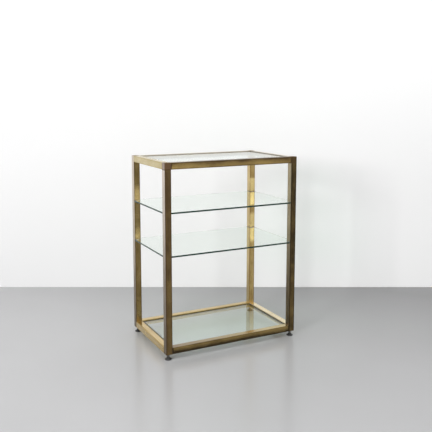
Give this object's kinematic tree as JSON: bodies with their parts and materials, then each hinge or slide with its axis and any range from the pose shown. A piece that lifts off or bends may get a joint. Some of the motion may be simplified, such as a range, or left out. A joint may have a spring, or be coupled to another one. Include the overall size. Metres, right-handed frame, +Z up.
{
  "type": "etagere",
  "caption": "Open square-tube brass etagere with inset glass top and bottom panes, notched glass shelves between full-height legs, and screw-in levelling feet.",
  "frame": {"origin": "on the floor, below the centre of the footprint", "axes": "+X to the right along the width, -Y towards the front, +Z up"},
  "size_m": [0.561, 0.346, 0.731],
  "materials": {
    "brass_tube": "satin, lightly patinated",
    "brass_cap": "satin, lightly patinated",
    "brass_pin": "satin",
    "clear_glass": "polished",
    "steel": "zinc plated, dulled",
    "black_glide": "matte"
  },
  "bodies": {
    "frame": {"leg_front_left": "brass_tube", "leg_plug_front_left": "brass_cap", "foot_insert_front_left": "steel", "leg_front_right": "brass_tube", "leg_plug_front_right": "brass_cap", "foot_insert_front_right": "steel", "leg_rear_left": "brass_tube", "leg_plug_rear_left": "brass_cap", "foot_insert_rear_left": "steel", "leg_rear_right": "brass_tube", "leg_plug_rear_right": "brass_cap", "foot_insert_rear_right": "steel", "top_rail_front": "brass_tube", "bottom_rail_front": "brass_tube", "top_ledge_front": "brass_tube", "bottom_ledge_front": "brass_tube", "top_rail_rear": "brass_tube", "bottom_rail_rear": "brass_tube", "top_ledge_rear": "brass_tube", "bottom_ledge_rear": "brass_tube", "top_rail_left": "brass_tube", "bottom_rail_left": "brass_tube", "top_ledge_left": "brass_tube", "bottom_ledge_left": "brass_tube", "top_rail_right": "brass_tube", "bottom_rail_right": "brass_tube", "top_ledge_right": "brass_tube", "bottom_ledge_right": "brass_tube", "upper_shelf_pins": "brass_pin", "lower_shelf_pins": "brass_pin"},
    "top_pane": {"top_pane": "clear_glass"},
    "upper_shelf": {"upper_shelf": "clear_glass"},
    "lower_shelf": {"lower_shelf": "clear_glass"},
    "bottom_pane": {"bottom_pane": "clear_glass"},
    "foot_pad_front_left": {"foot_pad_front_left": "black_glide"},
    "foot_stem_front_left": {"foot_stem_front_left": "steel"},
    "foot_pad_front_right": {"foot_pad_front_right": "black_glide"},
    "foot_stem_front_right": {"foot_stem_front_right": "steel"},
    "foot_pad_rear_left": {"foot_pad_rear_left": "black_glide"},
    "foot_stem_rear_left": {"foot_stem_rear_left": "steel"},
    "foot_pad_rear_right": {"foot_pad_rear_right": "black_glide"},
    "foot_stem_rear_right": {"foot_stem_rear_right": "steel"}
  },
  "joints": [
    {"name": "top_pane_lift", "type": "slide", "parent": "frame", "child": "top_pane", "axis": [0, 0, 1], "range_m": [0, 0.04]},
    {"name": "upper_shelf_lift", "type": "slide", "parent": "frame", "child": "upper_shelf", "axis": [0, 0, 1], "range_m": [0, 0.06]},
    {"name": "lower_shelf_lift", "type": "slide", "parent": "frame", "child": "lower_shelf", "axis": [0, 0, 1], "range_m": [0, 0.06]},
    {"name": "bottom_pane_lift", "type": "slide", "parent": "frame", "child": "bottom_pane", "axis": [0, 0, 1], "range_m": [0, 0.04]},
    {"name": "foot_height_front_left", "type": "slide", "parent": "frame", "child": "foot_pad_front_left", "axis": [0, 0, 1], "range_m": [0, 0.012]},
    {"name": "foot_turn_front_left", "type": "hinge", "parent": "foot_pad_front_left", "child": "foot_stem_front_left", "pos_m": [-0.2675, -0.16, 0], "axis": [0, 0, 1], "range_deg": [0, 2880]},
    {"name": "foot_height_front_right", "type": "slide", "parent": "frame", "child": "foot_pad_front_right", "axis": [0, 0, 1], "range_m": [0, 0.012]},
    {"name": "foot_turn_front_right", "type": "hinge", "parent": "foot_pad_front_right", "child": "foot_stem_front_right", "pos_m": [0.2675, -0.16, 0], "axis": [0, 0, 1], "range_deg": [0, 2880]},
    {"name": "foot_height_rear_left", "type": "slide", "parent": "frame", "child": "foot_pad_rear_left", "axis": [0, 0, 1], "range_m": [0, 0.012]},
    {"name": "foot_turn_rear_left", "type": "hinge", "parent": "foot_pad_rear_left", "child": "foot_stem_rear_left", "pos_m": [-0.2675, 0.16, 0], "axis": [0, 0, 1], "range_deg": [0, 2880]},
    {"name": "foot_height_rear_right", "type": "slide", "parent": "frame", "child": "foot_pad_rear_right", "axis": [0, 0, 1], "range_m": [0, 0.012]},
    {"name": "foot_turn_rear_right", "type": "hinge", "parent": "foot_pad_rear_right", "child": "foot_stem_rear_right", "pos_m": [0.2675, 0.16, 0], "axis": [0, 0, 1], "range_deg": [0, 2880]}
  ],
  "couplings": [
    {"joint": "foot_turn_front_left", "follows": "foot_height_front_left", "rad_per_m": 4188.8},
    {"joint": "foot_turn_front_right", "follows": "foot_height_front_right", "rad_per_m": 4188.8},
    {"joint": "foot_turn_rear_left", "follows": "foot_height_rear_left", "rad_per_m": 4188.8},
    {"joint": "foot_turn_rear_right", "follows": "foot_height_rear_right", "rad_per_m": 4188.8}
  ]
}
